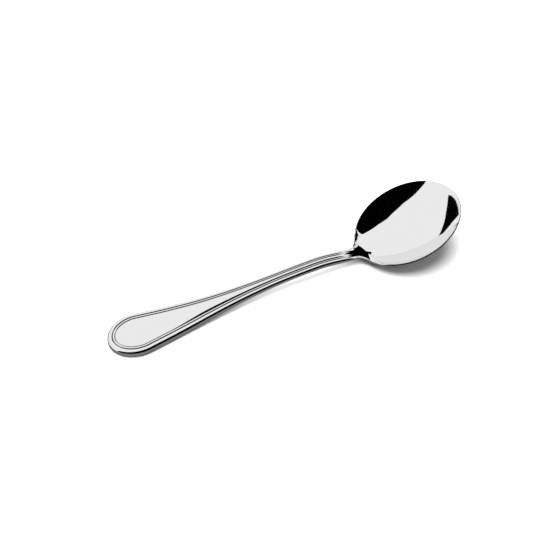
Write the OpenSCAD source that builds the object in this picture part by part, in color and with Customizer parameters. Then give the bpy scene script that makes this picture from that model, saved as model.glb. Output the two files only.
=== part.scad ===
/* [Bowl] */
// Length of the rim, seen from above
bowl_length = 51.2; // [46:0.2:56]
// Width of the rim
bowl_width = 45.8; // [40:0.2:50]
// Depth of the bowl below the plane of its rim
bowl_depth = 10.5; // [8.5:0.1:12]
// How much higher the front of the rim stands than its back
rim_rise = 18.4; // [14:0.2:20]
// Thickness of the metal at the rim
rim_thickness = 1.1; // [0.8:0.1:1.4]
// Thickness of the metal at the bottom of the bowl
bowl_thickness = 1.6; // [1.3:0.1:2]
// How softly the neck rolls over into the bowl
neck_roll = 3; // [2.2:0.1:3.6]

/* [Handle] */
// Width of the broad end
end_width = 23.2; // [19:0.2:25]
// Distance from the tip to the widest place
end_length = 13.8; // [11:0.2:15]
// Thickness of the broad end at its edge
end_thickness = 3.45; // [3:0.05:4]
// How far from the tip the straight sides would meet the shank
taper_length = 65.2; // [58:0.2:74]
// Length over which the sides bend into the shank
waist_length = 47.6; // [40:0.2:50]
// Length of the narrow shank, from the bend to the neck
shank_length = 35; // [26:0.2:48]
// Width of the shank
shank_width = 7.2; // [6.4:0.1:8.4]
// Thickness of the shank at its edge
shank_edge = 2.2; // [1.8:0.1:2.8]
// Thickness of the shank along its middle
shank_thickness = 3.4; // [3:0.1:4]
// Length of the broad end that lies on the table
lying_length = 24; // [18:1:32]
// Height of the top of the shank where it is highest
arch_height = 7.95; // [6.4:0.05:9]

/* [Border] */
// Width of the outer bead round the broad end
bead_width = 2.4; // [1.9:0.1:2.8]
// Width of the outer bead along the shank
shank_bead_width = 1.85; // [1.6:0.05:2]
// Width of the inner thread round the broad end
thread_width = 1.2; // [1:0.1:1.5]
// Width of the inner thread along the shank
shank_thread_width = 0.85; // [0.7:0.05:1]
// Depth of the two grooves
groove_depth = 0.4; // [0.3:0.05:0.5]
// How far the plain field lies below the bead at the broad end
field_depth = 0.15; // [0.05:0.01:0.25]
// How far it stands above the bead where the handle narrows
waist_rise = 0.55; // [0.3:0.05:0.7]
// How far it stands above the bead along the shank
shank_rise = 0.15; // [0.05:0.01:0.25]

/* [Hidden] */

// The spoon is built with the tip of the handle at x = 0 and is moved to its middle at the end
steel = "#d8dadb";
bowl_half_length = bowl_length / 2;
bowl_half_width = bowl_width / 2;
end_half_width = end_width / 2;
shank_half_width = shank_width / 2;

// The flats on which the spoon rests are this much above the lowest points of the rounded metal
rest_cut = 0.1;
cut_margin = 20;

// The underside of the broad end is slightly round, so its edges stand this far off the table
end_lift = 0.1;
end_height = end_thickness + end_lift;

// The rim's height at the widest place, so that the bowl's bottom comes down to the table
rim_slope = rim_rise / bowl_length;
rim_half_rise = rim_rise / 2;
rim_height = bowl_depth + pow(rim_half_rise, 2) / (4 * bowl_depth) + bowl_thickness - rest_cut;

// The straight side touches the end's ellipse at this angle
side_reach = (taper_length - end_length) / end_length;
side_rise = shank_half_width / end_half_width;
side_angle = 180 - acos(1 / norm([side_reach, side_rise])) - atan2(side_rise, side_reach);
side_x = end_length * (1 - cos(side_angle));
side_half_width = end_half_width * sin(side_angle);
waist_start_x = taper_length - waist_length / 2;
waist_end_x = taper_length + waist_length / 2;

// The neck widens from the shank's end, and meets the rim's ellipse at this angle from the ellipse's back
neck_x = waist_end_x + shank_length;
neck_length = 2.6;
shoulder_angle = 24;
shoulder_half_width = bowl_half_width * sin(shoulder_angle);
shoulder_run = (shoulder_half_width - shank_half_width) * tan(shoulder_angle) * bowl_length / bowl_width;
shoulder_x = neck_x + neck_length + shoulder_run;
bowl_x = shoulder_x + bowl_half_length * cos(shoulder_angle);
length = bowl_x + bowl_half_length;

// The border runs out over this length, and ends this far before the neck
fade_length = 10;
fade_gap = 1.8;
fade_end_x = neck_x - fade_gap;
fade_x = fade_end_x - fade_length;

// The handle is highest this far before the neck, and past the shoulder its edge becomes the rim's line
arch_run = 20.2;
rim_line_run = 4.6;
arch_x = neck_x - arch_run;
rim_line_x = shoulder_x + rim_line_run;
dip_run = rim_line_x - arch_x;

// The bowl's hollow reaches past the rim's back. It is flat across the neck, and turns round beyond it
dish_run = 0.6;
neck_flatness = 8;
bowl_roundness = 2;
flat_run = 5;
round_run = 3;
round_start_x = neck_x + flat_run;
round_end_x = round_start_x + round_run;

// Shares of the edge's thickness that are rounded off above and below it
end_drop_share = 0.435;
shank_drop_share = 0.66;
rim_drop_share = 0.77;
end_round_share = 0.23;
shank_round_share = 0.32;
rim_round_share = 0.18;
end_drop = end_drop_share * end_thickness;
shank_drop = shank_drop_share * shank_edge;
rim_drop = rim_drop_share * rim_thickness;
end_round = end_round_share * end_thickness;
shank_round = shank_round_share * shank_edge;
rim_round = rim_round_share * rim_thickness;

// Shares of the bead's width that its rounded outer side takes, and that side's width at the rim
end_side_share = 0.71;
shank_side_share = 0.73;
rim_side = 0.45;

// From its rounded side, the rim's edge is nearly straight, and the handle's is an ellipse
handle_fullness = 2;
rim_fullness = 1.05;
bead_fullness = 2.5;

// The border narrows from here to the waist's end, and the field's rounded side is broadest at the waist
narrow_start_x = 20;
ramp_start_x = 28;
ramp_full_x = 50;
end_ramp = 0.3;
waist_ramp = 1.3;
shank_ramp_share = 0.78;
shank_ramp = shank_ramp_share * (shank_half_width - shank_bead_width - shank_thread_width);

// Where the lower rounding has its middle point
lip_share = 0.25;

// Steps of the rings along the spoon and of the points across it
end_steps = 14;
side_steps = 7;
waist_steps = 10;
shank_steps = 7;
fade_steps = 5;
neck_steps = 14;
bowl_steps = 52;
across_steps = 7;
side_round_steps = 4;
line_steps = 3;
ramp_steps = 3;
tiny = 0.0001;

// The outline of one side, from the handle's tip to the bowl's front
function side_line(x) =
    side_half_width - (side_half_width - shank_half_width) * (x - side_x) / (taper_length - side_x);

function waist_point(t) = [
    waist_start_x + t * waist_length,
    shank_half_width + (side_line(waist_start_x) - shank_half_width) * pow(1 - t, 2)
];

function neck_point(t) = [
    neck_x + 2 * t * (1 - t) * neck_length + t * t * (shoulder_x - neck_x),
    shank_half_width + (shoulder_half_width - shank_half_width) * t * t
];

function end_point(angle) = [end_length * (1 - cos(angle)), end_half_width * sin(angle)];
function bowl_point(angle) = [bowl_x - bowl_half_length * cos(angle), bowl_half_width * sin(angle)];
function mix(a, b, share) = a + (b - a) * share;

outline = concat(
    [for (i = [0:end_steps]) end_point(side_angle * i / end_steps)],
    [for (i = [1:side_steps]) let (x = mix(side_x, waist_start_x, i / side_steps)) [x, side_line(x)]],
    [for (i = [1:waist_steps]) waist_point(i / waist_steps)],
    [for (i = [1:shank_steps]) [mix(waist_end_x, fade_x, i / shank_steps), shank_half_width]],
    [for (i = [1:fade_steps]) [mix(fade_x, fade_end_x, i / fade_steps), shank_half_width]],
    [for (i = [0:neck_steps]) neck_point(i / neck_steps)],
    [for (i = [1:bowl_steps]) bowl_point(mix(shoulder_angle, 180, i / bowl_steps))]
);
last_ring = len(outline) - 1;
waist_ring = end_steps + side_steps + waist_steps;
fade_ring = waist_ring + shank_steps + fade_steps;
shoulder_ring = fade_ring + neck_steps + 1;

// The outward direction at a ring, across the outline
function outward(i) =
    i == 0 ? [-1, 0] :
    i == last_ring ? [1, 0] :
    let (along = outline[i + 1] - outline[i - 1]) [-along[1], along[0]] / norm(along);

// The half width at any place from the neck to the bowl's front
function half_width(x) =
    x <= neck_x ? shank_half_width :
    x < shoulder_x ? neck_half_width(x) :
    bowl_half_width * sqrt(max(0, 1 - pow((x - bowl_x) / bowl_half_length, 2)));

function neck_half_width(x) =
    let (
        bend = shoulder_x - neck_x - 2 * neck_length,
        reach = pow(neck_length, 2) + bend * (x - neck_x),
        t = (x - neck_x) / (neck_length + sqrt(reach))
    )
    neck_point(t)[1];

// Side views: the height of the edge, and how deep the middle lies below it
function ease(x, from, to) =
    let (t = min(1, max(0, (x - from) / (to - from)))) t * t * (3 - 2 * t);

function rim_line(x) = rim_height + rim_slope * (x - bowl_x);

function edge_height(x) =
    x < arch_x ? mix(end_height, arch_height, ease(x, lying_length, arch_x)) :
    x > rim_line_x ? rim_line(x) :
    let (t = (x - arch_x) / dip_run)
    mix(arch_height, rim_line(rim_line_x), t * t * (3 - 2 * t)) + rim_slope * dip_run * t * t * (t - 1);

function bowl_fall(x, reach) = bowl_depth * (1 - pow((x - bowl_x) / reach, 2));

function soft_fall(x) = neck_roll * ln(1 + exp(bowl_fall(x, bowl_half_length + dish_run) / neck_roll));

function hollow_power(x) = mix(neck_flatness, bowl_roundness, ease(x, round_start_x, round_end_x));

function top_height(x, y) =
    x > bowl_x
        ? edge_height(x) - bowl_fall(x, bowl_half_length) + bowl_depth * pow(y / bowl_half_width, 2)
        : edge_height(x) - soft_fall(x) * (1 - pow(abs(y) / half_width(x), hollow_power(x)));

// The metal's thickness at the edge and along the middle
function edge_thickness(x) =
    mix(mix(end_thickness, shank_edge, ease(x, lying_length, waist_end_x)),
        rim_thickness, ease(x, fade_x, rim_line_x));

function middle_thickness(x) =
    mix(mix(end_height + rest_cut, shank_thickness, ease(x, lying_length, waist_end_x)),
        bowl_thickness, ease(x, fade_x, rim_line_x));

// The sizes of the border and of the edge's roundings at any place
function to_shank(x) = ease(x, narrow_start_x, waist_end_x);
function to_waist(x) = ease(x, ramp_start_x, ramp_full_x);
function to_rim(x) = ease(x, fade_x, rim_line_x);
function relief(x) = 1 - ease(x, fade_x, fade_end_x);
function left(x) = 1 - ease(x, fade_end_x, rim_line_x);

function bead(x) = mix(rim_side + rim_round, mix(bead_width, shank_bead_width, to_shank(x)), left(x));
function thread(x) = mix(rim_round, mix(thread_width, shank_thread_width, to_shank(x)), left(x));
function ramp(x) =
    mix(rim_round, mix(mix(end_ramp, waist_ramp, to_waist(x)), shank_ramp, to_shank(x)), left(x));

function groove(x) = groove_depth * relief(x);
function field(x) = mix(mix(field_depth, -waist_rise, to_waist(x)), -shank_rise, to_shank(x)) * relief(x);

function side_width(x) =
    mix(mix(end_side_share * bead_width, shank_side_share * shank_bead_width, to_shank(x)),
        rim_side, to_rim(x));
function drop(x) = mix(mix(end_drop, shank_drop, to_shank(x)), rim_drop, to_rim(x));
function rounding(x) = mix(mix(end_round, shank_round, to_shank(x)), rim_round, to_rim(x));

// Profiles across the border, each point as its distance in from the edge and its depth
function rounded_side(width, depth, fullness) = [
    for (k = [0:side_round_steps])
        let (angle = 90 * k / side_round_steps, power = 2 / fullness)
        [width * (1 - pow(cos(angle), power)), depth * (1 - pow(sin(angle), power))]
];

function falling_side(start, width, depth) = [
    for (k = [0:line_steps])
        let (share = sin(90 * k / line_steps))
        [start + width * share, depth * pow(share, bead_fullness)]
];

function rising_side(start, width, depth) = [
    for (k = [0:line_steps])
        let (share = cos(90 * k / line_steps))
        [start + width * (1 - share), depth * pow(share, bead_fullness)]
];

function rest_of(points) = [for (k = [1:len(points) - 1]) points[k]];

function edge_side(x) = rounded_side(side_width(x), drop(x), mix(handle_fullness, rim_fullness, to_rim(x)));

function bead_profile(x) =
    concat(edge_side(x), rest_of(falling_side(side_width(x), bead(x) - side_width(x), groove(x))));

function thread_profile(x) =
    let (half = thread(x) / 2)
    concat(
        rising_side(bead(x), half, groove(x)),
        rest_of(falling_side(bead(x) + half, half, groove(x)))
    );

// Where the border has its own pieces, the body is a plain seat for them
function seat_profile(x) = [[0, drop(x)], [bead(x), groove(x)], [bead(x) + thread(x), groove(x)]];
function plain_profile(x) = concat(edge_side(x), [[bead(x), 0], [bead(x) + thread(x), 0]]);

function ramp_profile(x) = [
    for (k = [1:ramp_steps - 1])
        let (share = k / ramp_steps)
        [
            bead(x) + thread(x) + ramp(x) * share,
            groove(x) + (field(x) - groove(x)) * sin(90 * share)
        ]
];

// A point on ring i, a distance in from the edge
function inset(i, distance) = outline[i] - distance * outward(i);

function top_point(i, place) =
    let (p = inset(i, place[0])) [p[0], p[1], top_height(p[0], p[1]) - place[1]];

// One half of a ring's upper side, from the edge to the middle
function half_top(i, seated) =
    let (
        x = outline[i][0],
        inner = inset(i, bead(x) + thread(x) + ramp(x))
    )
    concat(
        [for (place = seated ? seat_profile(x) : plain_profile(x)) top_point(i, place)],
        [for (place = ramp_profile(x)) top_point(i, place)],
        [for (k = [across_steps:-1:0])
            let (y = inner[1] * k / across_steps) [inner[0], y, top_height(inner[0], y) - field(x)]]
    );

function under_height(x, y, share) =
    top_height(x, y) - mix(middle_thickness(x), edge_thickness(x), share * share);

// One half of a ring's underside, from the edge to the middle, with as many points as the upper side
function half_under(i, count) =
    let (
        x = outline[i][0],
        round_off = rounding(x),
        corner = inset(i, round_off),
        lip_inset = round_off * lip_share,
        lip = inset(i, lip_inset),
        edge_z = top_height(x, outline[i][1]) - edge_thickness(x)
    )
    concat(
        [
            [x, outline[i][1], edge_z + round_off],
            [lip[0], lip[1], top_height(lip[0], lip[1]) - edge_thickness(x) + lip_inset]
        ],
        [for (k = [count - 3:-1:0])
            let (share = k / (count - 3), y = corner[1] * share)
            [corner[0], y, under_height(corner[0], y, share)]]
    );

function flip(p) = [p[0], -p[1], p[2]];
function whole_row(half) =
    let (n = len(half)) concat(half, [for (k = [n - 2:-1:0]) flip(half[k])]);

// Triangles of a strip between two rows of points that run side by side
function strip(a, b) = [
    for (k = [0:len(a) - 2])
        for (face = [[a[k], b[k + 1], a[k + 1]], [a[k], b[k], b[k + 1]]]) face
];

function is_real(face, points) =
    norm(points[face[0]] - points[face[1]]) > tiny
    && norm(points[face[1]] - points[face[2]]) > tiny
    && norm(points[face[2]] - points[face[0]]) > tiny;

// A closed piece of the spoon's body, from one ring to another, where a ring of no width needs no end face
module body_section(from, to, seated) {
    half_tops = [for (i = [from:to]) half_top(i, seated)];
    half_unders = [for (i = [from:to]) half_under(i, len(half_tops[0]))];
    rows = [for (half = concat(half_tops, half_unders)) whole_row(half)];
    points = [for (one = rows) each one];
    row = len(rows[0]);
    count = len(half_tops);
    top = [for (i = [0:count - 1]) [for (k = [0:row - 1]) i * row + k]];
    under = [for (i = [0:count - 1]) [for (k = [0:row - 1]) (count + i) * row + k]];
    faces = concat(
        [for (i = [0:count - 2]) each strip(top[i], top[i + 1])],
        [for (i = [0:count - 2]) each strip(under[i + 1], under[i])],
        [for (i = [0:count - 2]) each strip([top[i + 1][0], under[i + 1][0]], [top[i][0], under[i][0]])],
        [for (i = [0:count - 2])
            each strip([top[i][row - 1], under[i][row - 1]], [top[i + 1][row - 1], under[i + 1][row - 1]])],
        outline[from][1] > tiny ? strip(under[0], top[0]) : [],
        outline[to][1] > tiny ? strip(top[count - 1], under[count - 1]) : []
    );
    polyhedron(points = points, faces = [for (face = faces) if (is_real(face, points)) face]);
}

// Everything below the table is cut away, which leaves the small flats that the spoon rests on
module on_table(from, to, seated) {
    difference() {
        body_section(from, to, seated);
        translate([-cut_margin, -bowl_half_width - cut_margin, -cut_margin])
            cube([length + 2 * cut_margin, bowl_width + 2 * cut_margin, cut_margin]);
    }
}

// One end of a raised line is on the shank's far side (a negative ring), and the other on its near side
function raised_ring(i, profile) = [
    for (place = profile)
        let (p = top_point(abs(i), place)) [p[0], i < 0 ? -p[1] : p[1], p[2]]
];

module raised_line(profiles) {
    last = len(profiles) - 1;
    rings = [for (i = [-last:last]) raised_ring(i, profiles[abs(i)])];
    points = [for (ring = rings) each ring];
    size = len(profiles[0]);
    count = len(rings);
    loops = [for (i = [0:count - 1]) [for (k = [0:size]) i * size + k % size]];
    faces = concat(
        [for (i = [0:count - 2]) each strip(loops[i], loops[i + 1])],
        [for (k = [1:size - 2]) [0, k, k + 1]],
        [for (k = [1:size - 2]) let (first = (count - 1) * size) [first, first + k + 1, first + k]]
    );
    polyhedron(points = points, faces = faces);
}

module centred() {
    translate([-length / 2, 0, 0]) children();
}

module bowl() {
    color(steel) centred() on_table(shoulder_ring, last_ring, false);
}

module neck() {
    color(steel) centred() body_section(fade_ring, shoulder_ring, false);
}

module shank() {
    color(steel) centred() body_section(waist_ring, fade_ring, true);
}

module handle_end() {
    color(steel) centred() on_table(0, waist_ring, true);
}

module outer_bead() {
    color(steel) centred() raised_line([for (i = [0:fade_ring]) bead_profile(outline[i][0])]);
}

module inner_thread() {
    color(steel) centred() raised_line([for (i = [0:fade_ring - 1]) thread_profile(outline[i][0])]);
}

bowl();
neck();
shank();
handle_end();
outer_bead();
inner_thread();
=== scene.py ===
import bpy
import numpy as np
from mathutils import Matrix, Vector


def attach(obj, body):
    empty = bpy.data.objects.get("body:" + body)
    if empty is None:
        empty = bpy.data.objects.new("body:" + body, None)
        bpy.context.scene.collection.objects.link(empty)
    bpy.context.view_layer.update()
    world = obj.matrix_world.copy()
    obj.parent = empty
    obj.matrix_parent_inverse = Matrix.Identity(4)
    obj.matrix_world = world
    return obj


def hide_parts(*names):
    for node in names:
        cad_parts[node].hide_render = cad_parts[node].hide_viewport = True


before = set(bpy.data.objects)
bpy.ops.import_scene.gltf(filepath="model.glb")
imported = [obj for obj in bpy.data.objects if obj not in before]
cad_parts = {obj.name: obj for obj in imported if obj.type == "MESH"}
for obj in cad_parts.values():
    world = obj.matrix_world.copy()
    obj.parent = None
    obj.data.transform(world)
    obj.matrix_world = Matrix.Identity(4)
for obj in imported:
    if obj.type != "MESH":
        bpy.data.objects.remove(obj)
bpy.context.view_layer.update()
mm = 0.001  # sizes below are in millimetres, and Blender works in metres
print("frame loaded:", ", ".join(sorted(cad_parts)))


def direction(azimuth, elevation):
    # azimuth turns from +Y towards +X, elevation is above the table, both in degrees
    a, e = np.radians(azimuth), np.radians(elevation)
    return np.array([np.sin(a) * np.cos(e), np.cos(a) * np.cos(e), np.sin(e)])


def addObject(name, data):
    added = bpy.data.objects.new(name, data)
    bpy.context.scene.collection.objects.link(added)
    return added


def newMaterial(name):
    material = bpy.data.materials.new(name)
    material.use_nodes = True
    return material, material.node_tree, material.node_tree.nodes["Principled BSDF"]


# The camera looks down over the handle's tip, from the spoon's near side
camera = {
    "azimuth": 25.4,  # degrees that it looks to the right of +Y
    "elevation": 48.6,  # degrees that it looks down
    "distance": 473.8,  # from the point that it aims at
    "aim": (-2.7, 3.3, 0.0),
    "lens": 64.1,
    "sensor": 36.0,
    "clip": (0.01, 20.0),  # nearest and farthest seen, in metres
}


def placeCamera():
    data = bpy.data.cameras.new("camera")
    data.lens = camera["lens"]
    data.sensor_width = camera["sensor"]
    data.clip_start, data.clip_end = camera["clip"]
    view = addObject("camera", data)
    back = direction(camera["azimuth"] + 180, camera["elevation"])
    view.location = Vector((np.array(camera["aim"]) + camera["distance"] * back) * mm)
    view.rotation_euler = Vector(-back).to_track_quat("-Z", "Y").to_euler()
    bpy.context.scene.camera = view
    print("camera placed")


placeCamera()

# Sizes of the spoon, in millimetres, with the handle's tip at x = 0 until a piece is made
bowl = {
    "length": 51.2,  # of the rim
    "width": 45.8,
    "depth": 10.5,  # below the rim's plane
    "rimRise": 18.4,  # from the rim's back to its front
    "rimThickness": 1.1,
    "thickness": 1.6,  # at the bottom
    "rimEdgeWidth": 0.45,  # the rounding of the rim's upper edge
    "rimEdgeDrop": 0.85,
    "rimRound": 0.2,  # and of its lower edge
    "rimFullness": 1.05,  # 2 would round the edge as an ellipse, and 1 would cut it straight
}
neck = {
    "length": 2.6,  # before it begins to widen
    "roll": 3.0,  # how softly it rolls over into the bowl
    "dishRun": 0.6,  # how far the bowl's hollow reaches past the rim's back
    "flatness": 8.0,  # across the neck, where 2 is a round hollow and more is a flat one
    "roundStart": 5.0,  # past the neck, where the flat hollow begins to turn round
    "roundEnd": 8.0,
    "shoulderAngle": 24,  # degrees from the back of the rim's ellipse
    "rimLineRun": 4.6,  # past the shoulder, where the edge becomes the rim's line
    "archRun": 20.2,  # before the neck, where the handle is highest
}
handle = {
    "endWidth": 23.2,
    "endLength": 13.8,  # from the tip to the widest place
    "endThickness": 3.45,
    "taperLength": 65.2,
    "waistLength": 47.6,
    "shankLength": 35.0,
    "shankWidth": 7.2,
    "shankEdge": 2.2,
    "shankThickness": 3.4,
    "lyingLength": 24.0,  # the part that lies on the table
    "archHeight": 7.95,
    "endLift": 0.1,
    "restCut": 0.1,
    "edgeWidth": 1.7,  # how far in the rounding of the upper edge reaches
    "shankEdgeWidth": 1.35,
    "edgeDrop": 1.5,  # and how far down
    "shankEdgeDrop": 1.45,
    "edgeRound": 0.8,  # the rounding of the lower edge
    "shankEdgeRound": 0.7,
    "edgeFullness": 2,
}
border = {
    "bead": 2.4,
    "shankBead": 1.85,
    "thread": 1.2,
    "shankThread": 0.85,
    "narrowStart": 20.0,  # from here to the waist's end the two lines narrow
    "groove": 0.4,
    "field": 0.15,  # how far the field lies below the bead's crest
    "waistField": -0.55,
    "shankField": -0.15,
    "ramp": 0.3,  # the field's rounded side, which is broad at the waist
    "waistRamp": 1.3,
    "shankRamp": 0.7,
    "rampStart": 28.0,
    "rampFull": 50.0,
    "fullness": 2.5,  # 2 is a round bead, and more is squarer
    "fadeLength": 10.0,
    "fadeGap": 1.8,  # left plain before the neck
}
steps = {  # along the outline, and then across it
    "end": 28,
    "side": 12,
    "waist": 24,
    "shank": 12,
    "fade": 12,
    "neck": 30,
    "bowl": 72,
    "bead": 14,
    "thread": 10,
    "ramp": 3,
    "wall": 3,
    "round": 7,
    "across": 48,  # from the edge to the middle, all in all
}

bowlReach = bowl["length"] / 2
bowlHalf = bowl["width"] / 2
endReach = handle["endLength"]
endHalf = handle["endWidth"] / 2
shankHalf = handle["shankWidth"] / 2
endHeight = handle["endThickness"] + handle["endLift"]
waistStart = handle["taperLength"] - handle["waistLength"] / 2
waistEnd = handle["taperLength"] + handle["waistLength"] / 2
neckX = waistEnd + handle["shankLength"]
shoulderTurn = np.radians(neck["shoulderAngle"])
shoulderHalf = bowlHalf * np.sin(shoulderTurn)
shoulderRun = (shoulderHalf - shankHalf) * np.tan(shoulderTurn) * bowlReach / bowlHalf
shoulderX = neckX + neck["length"] + shoulderRun
bowlX = shoulderX + bowlReach * np.cos(shoulderTurn)
spoonLength = bowlX + bowlReach
rimSlope = bowl["rimRise"] / bowl["length"]
rimHeight = (
    bowl["depth"] + bowl["rimRise"] ** 2 / (16 * bowl["depth"]) + bowl["thickness"] - handle["restCut"]
)
sideReach = (handle["taperLength"] - endReach) / endReach
sideRise = shankHalf / endHalf
sideTurn = np.pi - np.arccos(1 / np.hypot(sideReach, sideRise)) - np.arctan2(sideRise, sideReach)
sideX = endReach * (1 - np.cos(sideTurn))
sideHalf = endHalf * np.sin(sideTurn)
tiny = 0.001  # less than this is no width at all
weldDigits = 5  # corners that agree to this many decimals are one
fadeEnd = neckX - border["fadeGap"]
fadeStart = fadeEnd - border["fadeLength"]
archX = neckX - neck["archRun"]
rimLineX = shoulderX + neck["rimLineRun"]


def mix(a, b, share):
    return a + (b - a) * share


def ease(x, start, end):
    t = np.clip((x - start) / (end - start), 0, 1)
    return t * t * (3 - 2 * t)


def sideLine(x):
    return mix(sideHalf, shankHalf, (x - sideX) / (handle["taperLength"] - sideX))


def spread(start, end, count):
    return np.linspace(start, end, count + 1)[1:]


def makeOutline():
    # one side of the spoon seen from above, from the handle's tip to the bowl's front
    turn = np.linspace(0, sideTurn, steps["end"] + 1)
    xs = [endReach * (1 - np.cos(turn))]
    ys = [endHalf * np.sin(turn)]
    side = spread(sideX, waistStart, steps["side"])
    xs.append(side)
    ys.append(sideLine(side))
    t = spread(0, 1, steps["waist"])
    xs.append(waistStart + t * handle["waistLength"])
    ys.append(shankHalf + (sideLine(waistStart) - shankHalf) * (1 - t) ** 2)
    for start, end, count in ((waistEnd, fadeStart, "shank"), (fadeStart, fadeEnd, "fade")):
        xs.append(spread(start, end, steps[count]))
        ys.append(np.full(steps[count], shankHalf))
    t = np.linspace(0, 1, steps["neck"] + 1)
    xs.append(neckX + 2 * t * (1 - t) * neck["length"] + t * t * (shoulderX - neckX))
    ys.append(shankHalf + (shoulderHalf - shankHalf) * t * t)
    turn = spread(shoulderTurn, np.pi, steps["bowl"])
    xs.append(bowlX - bowlReach * np.cos(turn))
    ys.append(bowlHalf * np.sin(turn))
    return np.concatenate(xs), np.concatenate(ys)


edgeX, edgeY = makeOutline()
lastRing = len(edgeX) - 1
waistRing = steps["end"] + steps["side"] + steps["waist"]
fadeRing = waistRing + steps["shank"] + steps["fade"]
shoulderRing = fadeRing + steps["neck"] + 1


def makeOutward():
    # the horizontal direction straight out of the outline at each ring
    alongX = np.gradient(edgeX)
    alongY = np.gradient(edgeY)
    alongX[[0, -1]] = 0
    alongY[0], alongY[-1] = 1, -1
    size = np.hypot(alongX, alongY)
    return -alongY / size, alongX / size


outX, outY = makeOutward()


def halfWidth(x):
    # half the width of the shank, the neck and the bowl at x
    bend = shoulderX - neckX - 2 * neck["length"]
    past = np.clip(x - neckX, 0, shoulderX - neckX)
    t = past / (neck["length"] + np.sqrt(neck["length"] ** 2 + bend * past))
    neckHalf = shankHalf + (shoulderHalf - shankHalf) * t * t
    rimHalf = bowlHalf * np.sqrt(np.clip(1 - ((x - bowlX) / bowlReach) ** 2, 0, None))
    return np.where(x < shoulderX, neckHalf, rimHalf)


def rimLine(x):
    return rimHeight + rimSlope * (x - bowlX)


def edgeHeight(x):
    # the spoon's edge in side view: flat, up over the arch, down to the neck, and up along the rim
    rise = mix(endHeight, handle["archHeight"], ease(x, handle["lyingLength"], archX))
    run = rimLineX - archX
    t = (x - archX) / run
    fall = mix(handle["archHeight"], rimLine(rimLineX), t * t * (3 - 2 * t))
    dip = fall + rimSlope * run * t * t * (t - 1)
    return np.where(x < archX, rise, np.where(x > rimLineX, rimLine(x), dip))


def topHeight(x, y):
    # the upper surface without its border
    fall = bowl["depth"] * (1 - ((x - bowlX) / bowlReach) ** 2)
    front = edgeHeight(x) - fall + bowl["depth"] * (y / bowlHalf) ** 2
    backFall = bowl["depth"] * (1 - ((x - bowlX) / (bowlReach + neck["dishRun"])) ** 2)
    softFall = neck["roll"] * np.logaddexp(0, backFall / neck["roll"])
    power = mix(neck["flatness"], 2, ease(x, neckX + neck["roundStart"], neckX + neck["roundEnd"]))
    back = edgeHeight(x) - softFall * (1 - np.abs(y / np.maximum(halfWidth(x), shankHalf)) ** power)
    return np.where(x > bowlX, front, back)


def edgeShare(x, y):
    # 0 along the middle and 1 at the edge, also round the tip and the bowl's front
    handleHalf = np.interp(x, edgeX[:waistRing], edgeY[:waistRing])
    half = np.where(x < endReach, endHalf, np.where(x < waistEnd, handleHalf, halfWidth(x)))
    half = np.where(x > bowlX, bowlHalf, np.maximum(half, shankHalf))
    tip = np.where(x < endReach, (x - endReach) / endReach, 0)
    front = np.where(x > bowlX, (x - bowlX) / bowlReach, 0)
    return np.clip((y / half) ** 2 + tip**2 + front**2, 0, 1)


def thickness(x, y):
    toShank = ease(x, handle["lyingLength"], waistEnd)
    toBowl = ease(x, fadeStart, rimLineX)
    edge = mix(handle["endThickness"], handle["shankEdge"], toShank)
    middle = mix(endHeight + handle["restCut"], handle["shankThickness"], toShank)
    edge = mix(edge, bowl["rimThickness"], toBowl)
    middle = mix(middle, bowl["thickness"], toBowl)
    return mix(middle, edge, edgeShare(x, y))


def underHeight(x, y):
    return topHeight(x, y) - thickness(x, y)


def slope(height, x, y):
    # how a height changes along x and along y
    step = 0.01
    alongX = (height(x + step, y) - height(x - step, y)) / (2 * step)
    alongY = (height(x, y + step) - height(x, y - step)) / (2 * step)
    return alongX, alongY


def surface(rings, inset, drop, turn, height):
    # A grid of points and normals, one row per ring. Each point lies inset from the edge and
    # dropped below the given height, and its normal is turned outward from the vertical.
    x = edgeX[rings][:, None] - outX[rings][:, None] * inset
    y = edgeY[rings][:, None] - outY[rings][:, None] * inset
    alongX, alongY = slope(height, x, y)
    turn = turn + 0 * x
    points = np.stack([x, y, height(x, y) - drop], axis=-1)
    normals = np.stack(
        [
            outX[rings][:, None] * np.sin(turn) - alongX * np.cos(turn),
            outY[rings][:, None] * np.sin(turn) - alongY * np.cos(turn),
            np.cos(turn),
        ],
        axis=-1,
    )
    return points, normals


def borderSizes(rings):
    # widths and depths of the border at each ring, as columns
    x = edgeX[rings][:, None]
    left = 1 - ease(x, fadeEnd, rimLineX)
    toShank = ease(x, border["narrowStart"], waistEnd)
    toWaist = ease(x, border["rampStart"], border["rampFull"])
    relief = 1 - ease(x, fadeStart, fadeEnd)
    toRim = ease(x, fadeStart, rimLineX)
    bead = mix(border["bead"], border["shankBead"], toShank)
    thread = mix(border["thread"], border["shankThread"], toShank)
    ramp = mix(mix(border["ramp"], border["waistRamp"], toWaist), border["shankRamp"], toShank)
    field = mix(mix(border["field"], border["waistField"], toWaist), border["shankField"], toShank)
    edgeWidth = mix(handle["edgeWidth"], handle["shankEdgeWidth"], toShank)
    edgeDrop = mix(handle["edgeDrop"], handle["shankEdgeDrop"], toShank)
    edgeRound = mix(handle["edgeRound"], handle["shankEdgeRound"], toShank)
    return {
        "bead": mix(bowl["rimEdgeWidth"] + bowl["rimRound"], bead, left),
        "thread": mix(bowl["rimRound"], thread, left),
        "ramp": mix(bowl["rimRound"], ramp, left),
        "groove": border["groove"] * relief,
        "field": field * relief,
        "edgeWidth": mix(edgeWidth, bowl["rimEdgeWidth"], toRim),
        "edgeDrop": mix(edgeDrop, bowl["rimEdgeDrop"], toRim),
        "edgeRound": mix(edgeRound, bowl["rimRound"], toRim),
        "edgeFullness": mix(handle["edgeFullness"], bowl["rimFullness"], toRim),
    }


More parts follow.
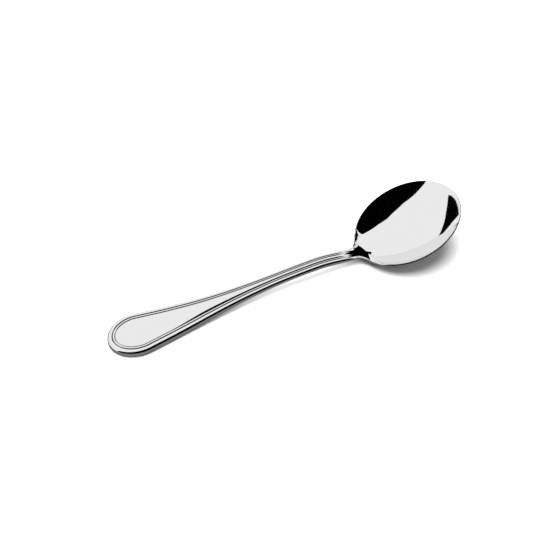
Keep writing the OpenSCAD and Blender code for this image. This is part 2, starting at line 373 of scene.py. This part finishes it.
def roundedSide(width, depth, fullness, count):
    # the outer side of the bead, upright at the edge and level on the crest
    t = np.linspace(0, np.pi / 2, count + 1)[None, :]
    power = 2 / fullness
    inset = width * (1 - np.cos(t) ** power)
    drop = depth * (1 - np.sin(t) ** power)
    turn = np.arctan2(depth * np.cos(t) ** (2 - power), width * np.sin(t) ** (2 - power))
    return inset, drop, turn


def raisedSide(start, width, depth, count, inward):
    # half of a raised line, from its crest to a groove, or from a groove to its crest
    t = np.linspace(0, 1, count + 1)[None, :]
    away = t if inward else 1 - t
    away = np.sin(away * np.pi / 2)
    inset = start + width * (away if inward else 1 - away)
    drop = depth * away ** border["fullness"]
    steep = depth * border["fullness"] * away ** (border["fullness"] - 1) / width
    turn = -np.arctan(steep) if inward else np.arctan(steep)
    return inset, drop, turn


def join(*parts):
    # put stretches of a profile side by side, each after the first without its first point
    first = parts[0]
    rest = [tuple(value[:, 1:] for value in part) for part in parts[1:]]
    return tuple(np.concatenate([piece[i] for piece in [first] + rest], axis=1) for i in range(3))


def beadProfile(rings):
    sizes = borderSizes(rings)
    count = steps["bead"] // 2
    edge = sizes["edgeWidth"]
    outer = roundedSide(edge, sizes["edgeDrop"], sizes["edgeFullness"], count)
    inner = raisedSide(edge, sizes["bead"] - edge, sizes["groove"], count, True)
    return join(outer, inner)


def threadProfile(rings):
    sizes = borderSizes(rings)
    count = steps["thread"] // 2
    half = sizes["thread"] / 2
    outer = raisedSide(sizes["bead"], half, sizes["groove"], count, False)
    inner = raisedSide(sizes["bead"] + half, half, sizes["groove"], count, True)
    return join(outer, inner)


def rampProfile(rings):
    # from the inner groove up to the field, as a quarter of a wave
    sizes = borderSizes(rings)
    t = np.linspace(0, 1, steps["ramp"] + 1)[None, :]
    inset = sizes["bead"] + sizes["thread"] + sizes["ramp"] * t
    rise = sizes["groove"] - sizes["field"]
    drop = sizes["groove"] - rise * np.sin(t * np.pi / 2)
    turn = np.arctan(rise * np.cos(t * np.pi / 2) * np.pi / 2 / sizes["ramp"])
    return inset, drop, turn


def fieldGrid(rings, count):
    # the smooth field, from the border straight across to the middle
    sizes = borderSizes(rings)
    inset = sizes["bead"] + sizes["thread"] + sizes["ramp"]
    x = edgeX[rings][:, None] - outX[rings][:, None] * inset
    y = edgeY[rings][:, None] - outY[rings][:, None] * inset
    return acrossGrid(x, y, count, topHeight, sizes["field"], 1)


def acrossGrid(x, y, count, height, drop, side):
    # straight across from (x, y) to the middle, facing up where side is 1 and down where it is -1
    t = np.linspace(1, 0, count + 1)[None, :]
    x = x + 0 * t
    y = y * t
    alongX, alongY = slope(height, x, y)
    points = np.stack([x, y, height(x, y) - drop], axis=-1)
    normals = np.stack([-alongX * side, -alongY * side, np.full_like(x, side)], axis=-1)
    return points, normals


def underGrids(rings):
    # the wall, the rounding of the lower edge, and the underside, from the edge to the middle
    sizes = borderSizes(rings)
    t = np.linspace(0, 1, steps["wall"] + 1)[None, :]
    x = edgeX[rings][:, None]
    y = edgeY[rings][:, None]
    wallFoot = thickness(x, y) - sizes["edgeRound"]
    wall = surface(rings, 0 * t, mix(sizes["edgeDrop"], wallFoot, t), np.pi / 2 + 0 * t, topHeight)
    t = np.linspace(np.pi / 2, np.pi, steps["round"] + 1)[None, :]
    inset = sizes["edgeRound"] * (1 - np.sin(t))
    lift = sizes["edgeRound"] * (1 + np.cos(t))
    lower = surface(rings, inset, -lift, t, underHeight)
    footX = x - outX[rings][:, None] * sizes["edgeRound"]
    footY = y - outY[rings][:, None] * sizes["edgeRound"]
    inside = steps["across"] - steps["wall"] - steps["round"]
    under = acrossGrid(footX, footY, inside, underHeight, 0, -1)
    return onTable(joinGrids([wall, lower, under]))


def onTable(grid):
    # what would reach below the table is level with it
    points, normals = grid
    low = points[..., 2] < 0
    points[low, 2] = 0
    normals[low] = (0, 0, -1)
    return points, normals


def joinGrids(grids):
    points = np.concatenate([grids[0][0]] + [g[0][:, 1:] for g in grids[1:]], axis=1)
    normals = np.concatenate([grids[0][1]] + [g[1][:, 1:] for g in grids[1:]], axis=1)
    return points, normals


def mirrored(grid):
    points, normals = grid
    other = np.array([1, -1, 1])
    return points * other, normals * other


def addPatch(patches, grid, flipped=False, visible=True):
    patches.append((grid, flipped, visible))


def makePiece(name, patches, node, material):
    # one closed mesh out of grids, with the grids' own normals where a grid shows
    verts, faces, cornerNormals = [], [], []
    start = 0
    for (points, normals), flipped, visible in patches:
        rows, columns = points.shape[:2]
        index = start + np.arange(rows * columns).reshape(rows, columns)
        corners = [index[:-1, :-1], index[:-1, 1:], index[1:, 1:], index[1:, :-1]]
        quads = np.stack(corners, axis=-1).reshape(-1, 4)
        faces.append(quads[:, ::-1] if flipped else quads)
        verts.append(points.reshape(-1, 3))
        unit = normals / np.linalg.norm(normals, axis=-1, keepdims=True)
        cornerNormals.append((unit if visible else 0 * unit).reshape(-1, 3))
        start += rows * columns
    verts = np.concatenate(verts)
    faces = np.concatenate(faces)
    cornerNormals = np.concatenate(cornerNormals)
    rounded = np.round(verts, weldDigits)
    first, same = np.unique(rounded, axis=0, return_index=True, return_inverse=True)[1:]
    same = same.reshape(-1)
    merged = verts[first]
    meshFaces, loopNormals = [], []
    for quad in faces:
        corners = []
        for corner in quad:
            if same[corner] not in [same[c] for c in corners]:
                corners.append(corner)
        if len(corners) < 3:
            continue
        meshFaces.append([int(same[c]) for c in corners])
        loopNormals.extend(cornerNormals[c] for c in corners)
    mesh = bpy.data.meshes.new(name)
    centred = merged - np.array([spoonLength / 2, 0, 0])
    mesh.from_pydata((centred * mm).tolist(), [], meshFaces)
    # the groove attribute holds the painted shade of the grooves
    groove = mesh.attributes.new("groove", "FLOAT", "POINT")
    groove.data.foreach_set("value", paintedGrooveShade(merged).astype(np.float32))
    mesh.shade_smooth()
    mesh.normals_split_custom_set([tuple(n) for n in loopNormals])
    mesh.validate()
    piece = addObject(name, mesh)
    mesh.materials.append(material)
    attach(piece, "root")
    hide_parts(node)
    print("made", name, "with", len(meshFaces), "faces")


def capBetween(top, under):
    # a hidden end face, between the upper and the lower row of one ring
    points = np.stack([top, under])
    return points, np.ones_like(points)


def seatOf(grid):
    # the plain seat under a raised line, straight across from one of its sides to the other
    points, normals = grid
    t = np.linspace(0, 1, points.shape[1])[None, :, None]
    return mix(points[:, :1], points[:, -1:], t), normals


def asItIs(grid):
    return grid


def makeBody(name, node, start, end, material):
    # a stretch of the spoon from one ring to another, where the handle's border has its own pieces
    rings = np.arange(start, end + 1)
    ramp = surface(rings, *rampProfile(rings), topHeight)
    plain = steps["across"] - steps["bead"] - steps["thread"] - steps["ramp"]
    field = fieldGrid(rings, plain)
    bead = surface(rings, *beadProfile(rings), topHeight)
    thread = surface(rings, *threadProfile(rings), topHeight)
    if end <= fadeRing:
        hidden = joinGrids([seatOf(bead), seatOf(thread)])
        shown = joinGrids([ramp, field])
    else:
        hidden = None
        shown = joinGrids([bead, thread, ramp, field])
    under = underGrids(rings)
    patches = []
    for side in (False, True):
        turn = mirrored if side else asItIs
        addPatch(patches, turn(shown), side)
        if hidden:
            addPatch(patches, turn(hidden), side, False)
        addPatch(patches, turn(under), not side)
        top = joinGrids([hidden, shown])[0] if hidden else shown[0]
        for ring, flip in ((0, True), (-1, False)):
            if edgeY[rings[ring]] > tiny:
                addPatch(patches, turn(capBetween(top[ring], under[0][ring])), flip != side, False)
    makePiece(name, patches, node, material)


def makeRaised(name, node, profile, material):
    # a raised line from one side of the shank round the tip to the other, seated on the body
    rings = np.arange(0, fadeRing + 1)
    grid = surface(rings, *profile(rings), topHeight)
    other = mirrored(grid)
    line = tuple(np.concatenate([far[:0:-1], near]) for far, near in zip(other, grid))
    seat = seatOf(line)
    patches = []
    addPatch(patches, line)
    addPatch(patches, seat, True, False)
    for ring, flip in ((0, True), (-1, False)):
        addPatch(patches, capBetween(line[0][ring], seat[0][ring]), flip, False)
    makePiece(name, patches, node, material)


# Mirror-polished stainless steel
steel = {
    "colour": (0.89, 0.89, 0.895),
    "grooveShadeColour": (0.12, 0.12, 0.125),  # painted shade, darkest along the bottoms of the border's grooves
    "grooveShadeReach": 0.4,  # how far the painted shade spreads up the groove's sides, in millimetres
    "threadGrooveShade": 0.5,  # how much of the painted shade lies in the inner groove
    "roughness": (0.015, 0.045),  # from the clearest places to the most handled
    "handledSize": 9.0,  # how large those places are
    "handledDetail": 4,
    "handledRange": (0.3, 0.7),  # the noise that lies between the two
    "lineSize": 0.12,  # the fine polish lines along the spoon
    "lineDetail": 2,
    "lineStretch": (0.02, 1, 1),
    "lineDepth": 0.0004,
}


def paintedGrooveShade(points):
    # how much painted shade a point gets: 1 along the bottom of a groove and 0 away from it
    x, y = points[:, 0], np.abs(points[:, 1])
    away = np.hypot(x[:, None] - edgeX[: fadeRing + 1], y[:, None] - edgeY[: fadeRing + 1])
    nearest = away.argmin(axis=1)
    sizes = borderSizes(nearest)
    inset = away.min(axis=1)[:, None]
    outer = 1 - np.abs(inset - sizes["bead"]) / steel["grooveShadeReach"]
    inner = 1 - np.abs(inset - sizes["bead"] - sizes["thread"]) / steel["grooveShadeReach"]
    share = np.maximum(outer, inner * steel["threadGrooveShade"])[:, 0]
    share *= sizes["groove"][:, 0] / border["groove"]
    share[points[:, 2] < topHeight(x, y) - 2 * border["groove"]] = 0
    return np.clip(share, 0, 1)


def makeSteel():
    material, tree, shader = newMaterial("polishedSteel")
    shader.inputs["Metallic"].default_value = 1

    # painted shade: the steel is darker towards the bottoms of the grooves
    groove = tree.nodes.new("ShaderNodeAttribute")
    groove.attribute_name = "groove"
    colour = tree.nodes.new("ShaderNodeMix")
    colour.data_type = "RGBA"
    tree.links.new(groove.outputs["Fac"], colour.inputs["Factor"])
    colour.inputs["A"].default_value = (*steel["colour"], 1)
    colour.inputs["B"].default_value = (*steel["grooveShadeColour"], 1)
    tree.links.new(colour.outputs["Result"], shader.inputs["Base Color"])

    place = tree.nodes.new("ShaderNodeTexCoord")
    handled = tree.nodes.new("ShaderNodeTexNoise")
    handled.inputs["Scale"].default_value = 1 / (steel["handledSize"] * mm)
    handled.inputs["Detail"].default_value = steel["handledDetail"]
    tree.links.new(place.outputs["Object"], handled.inputs["Vector"])
    roughness = tree.nodes.new("ShaderNodeMapRange")
    for end, noise, rough in zip(("Min", "Max"), steel["handledRange"], steel["roughness"]):
        roughness.inputs["From " + end].default_value = noise
        roughness.inputs["To " + end].default_value = rough
    tree.links.new(handled.outputs["Fac"], roughness.inputs["Value"])
    tree.links.new(roughness.outputs["Result"], shader.inputs["Roughness"])

    alongSpoon = tree.nodes.new("ShaderNodeMapping")
    alongSpoon.inputs["Scale"].default_value = steel["lineStretch"]
    lines = tree.nodes.new("ShaderNodeTexNoise")
    lines.inputs["Scale"].default_value = 1 / (steel["lineSize"] * mm)
    lines.inputs["Detail"].default_value = steel["lineDetail"]
    bump = tree.nodes.new("ShaderNodeBump")
    bump.inputs["Strength"].default_value = 1
    bump.inputs["Distance"].default_value = steel["lineDepth"] * mm
    tree.links.new(place.outputs["Object"], alongSpoon.inputs["Vector"])
    tree.links.new(alongSpoon.outputs["Vector"], lines.inputs["Vector"])
    tree.links.new(lines.outputs["Fac"], bump.inputs["Height"])
    tree.links.new(bump.outputs["Normal"], shader.inputs["Normal"])
    return material


polished = makeSteel()
makeBody("bowlSkin", "bowl", shoulderRing, lastRing, polished)
makeBody("neckSkin", "neck", fadeRing, shoulderRing, polished)
makeBody("shankSkin", "shank", waistRing, fadeRing, polished)
makeBody("handleEndSkin", "handle_end", 0, waistRing, polished)
makeRaised("outerBeadSkin", "outer_bead", beadProfile, polished)
makeRaised("innerThreadSkin", "inner_thread", threadProfile, polished)

# The white table keeps the spoon's shadow, and it glows with painted light that lightens the shadow,
# most below the arch
table = {
    "size": 3.0,  # in metres
    "white": 1.7,  # more than 1, because the photograph's paper is overexposed
    # painted light: how much the table glows by the handle's end
    "paintedGlow": 0.1,
    "paintedArchGlow": 0.5,  # painted light: the table glows most below the arch, which takes out most of the arch's shadow
    # where the painted glow rises, and where it falls away, in millimetres along the spoon
    "archStart": (-50, -2),
    "archEnd": (25, 42),
    "mirrored": 0.2,  # painted shade: the metal sees a darker copy of the table, this pale
}


def fadeAlong(tree, x, start, end, low=0, high=1):
    # a value that goes softly from low to high between two places along the spoon
    fade = tree.nodes.new("ShaderNodeMapRange")
    fade.interpolation_type = "SMOOTHSTEP"
    fade.inputs["From Min"].default_value = start * mm
    fade.inputs["From Max"].default_value = end * mm
    fade.inputs["To Min"].default_value = low
    fade.inputs["To Max"].default_value = high
    tree.links.new(x, fade.inputs["Value"])
    return fade.outputs["Result"]


def makeFloor():
    material, tree, shader = newMaterial("whiteTable")
    shader.inputs["Base Color"].default_value = (table["white"],) * 3 + (1,)
    shader.inputs["Roughness"].default_value = 1
    shader.inputs["Specular IOR Level"].default_value = 0
    shader.inputs["Emission Color"].default_value = (1, 1, 1, 1)
    place = tree.nodes.new("ShaderNodeTexCoord")
    along = tree.nodes.new("ShaderNodeSeparateXYZ")
    tree.links.new(place.outputs["Object"], along.inputs["Vector"])
    x = along.outputs["X"]
    # painted light: the table's glow is low by the handle's end, highest below the arch, and gone past
    # it
    both = tree.nodes.new("ShaderNodeMath")
    both.operation = "MULTIPLY"
    rising = fadeAlong(tree, x, *table["archStart"], table["paintedGlow"], table["paintedArchGlow"])
    falling = fadeAlong(tree, x, *table["archEnd"][::-1])
    tree.links.new(rising, both.inputs[0])
    tree.links.new(falling, both.inputs[1])
    tree.links.new(both.outputs["Value"], shader.inputs["Emission Strength"])
    # painted shade: glossy rays see the darker copy of the table, so its reflections in the metal are
    # grey
    path = tree.nodes.new("ShaderNodeLightPath")
    mirrored = tree.nodes.new("ShaderNodeBsdfDiffuse")
    mirrored.inputs["Color"].default_value = (table["mirrored"],) * 3 + (1,)
    seen = tree.nodes.new("ShaderNodeMixShader")
    tree.links.new(path.outputs["Is Glossy Ray"], seen.inputs["Fac"])
    tree.links.new(shader.outputs["BSDF"], seen.inputs[1])
    tree.links.new(mirrored.outputs["BSDF"], seen.inputs[2])
    clear = tree.nodes.new("ShaderNodeBsdfTransparent")  # seen from below, the table isn't there
    side = tree.nodes.new("ShaderNodeNewGeometry")
    either = tree.nodes.new("ShaderNodeMixShader")
    tree.links.new(side.outputs["Backfacing"], either.inputs["Fac"])
    tree.links.new(seen.outputs["Shader"], either.inputs[1])
    tree.links.new(clear.outputs["BSDF"], either.inputs[2])
    tree.links.new(either.outputs["Shader"], tree.nodes["Material Output"].inputs["Surface"])
    half = table["size"] / 2
    mesh = bpy.data.meshes.new("table")
    corners = [(-half, -half, 0), (half, -half, 0), (half, half, 0), (-half, half, 0)]
    mesh.from_pydata(corners, [], [(0, 1, 2, 3)])
    mesh.materials.append(material)
    floor = addObject("table", mesh)
    print("table laid")


makeFloor()

# Soft light from above, a little behind and to the left, and a white room that the metal mirrors
light = {
    "azimuth": -30,  # degrees from +Y towards +X
    "elevation": 77,
    "spread": 60,  # degrees across, which softens the shadow
    "strength": 3.0,
    "room": 0.16,
    "mirroredRoom": 0.92,  # how bright the metal sees the room
}


def makeLight():
    data = bpy.data.lights.new("softbox", "SUN")
    data.energy = light["strength"]
    data.angle = np.radians(light["spread"])
    lamp = addObject("softbox", data)
    toLamp = direction(light["azimuth"], light["elevation"])
    lamp.rotation_euler = Vector(-toLamp).to_track_quat("-Z", "Y").to_euler()
    lamp.visible_glossy = False

    world = bpy.data.worlds.new("room")
    bpy.context.scene.world = world
    world.use_nodes = True
    tree = world.node_tree
    background = tree.nodes["Background"]
    path = tree.nodes.new("ShaderNodeLightPath")
    mirrored = tree.nodes.new("ShaderNodeMapRange")
    mirrored.inputs["To Min"].default_value = light["room"]
    mirrored.inputs["To Max"].default_value = light["mirroredRoom"]
    seen = tree.nodes.new("ShaderNodeMath")
    seen.operation = "MAXIMUM"
    tree.links.new(path.outputs["Is Glossy Ray"], mirrored.inputs["Value"])
    tree.links.new(path.outputs["Is Camera Ray"], seen.inputs[0])
    tree.links.new(mirrored.outputs["Result"], seen.inputs[1])
    tree.links.new(seen.outputs["Value"], background.inputs["Strength"])
    background.inputs["Color"].default_value = (1, 1, 1, 1)
    print("light set")


makeLight()

# Black cards with straight edges, which only the metal sees: painted reflection, the dark parts of the
# metal's reflections.
# Each is a strip of panels, and each row is an azimuth with the elevations of the strip's top and foot
# there, in degrees.
blackCards = {
    "distance": 5.0,  # from the spoon, in metres
    "colour": (0.002, 0.002, 0.002),
    "cameraSide": [
        (96, 50, 0),
        (102, 58, 0),
        (111, 64.5, 0),
        (136, 72, 0),
        (172, 75.5, 0),
        (191, 74.5, 0),
        (205, 71.5, 0),
        (236, 58.5, 0),
        (252, 47.5, 0),
        (257.5, 39, 0),
    ],
    "neckSide": [
        (42, 33, 0),
        (46, 32, 0),
        (49, 30, 0),
        (53, 24, 0),
        (66, 23, 0),
        (93, 23.5, 0),
    ],
    "farSide": [
        (-56, 25.5, 25.5),
        (-52, 25, 23),
        (-42, 23, 18),
        (-35, 21, 14.5),
        (-24, 16.5, 8.5),
        (-19, 14, 5.5),
        (-15, 12, 6),
        (-6, 6.5, 4),
        (0, 4, 3.5),
    ],
}


def makeCard(name):
    # painted reflection: a dark sheet that only glossy rays see
    material, _, shader = newMaterial("blackCard")
    shader.inputs["Base Color"].default_value = (*blackCards["colour"], 1)
    shader.inputs["Roughness"].default_value = 1
    shader.inputs["Specular IOR Level"].default_value = 0
    azimuths, tops, feet = zip(*blackCards[name])
    corners = [*zip(azimuths, tops), *zip(azimuths, feet)]
    verts = [direction(*corner) * blackCards["distance"] for corner in corners]
    count = len(azimuths)
    faces = [(i, i + 1, count + i + 1, count + i) for i in range(count - 1)]
    mesh = bpy.data.meshes.new(name)
    mesh.from_pydata([tuple(v) for v in verts], [], faces)
    mesh.materials.append(material)
    card = addObject(name, mesh)
    card.visible_camera = False
    card.visible_diffuse = False
    card.visible_shadow = False


for cardName in ("cameraSide", "neckSide", "farSide"):
    makeCard(cardName)
print("cards hung")

bpy.context.scene.view_settings.view_transform = "Standard"
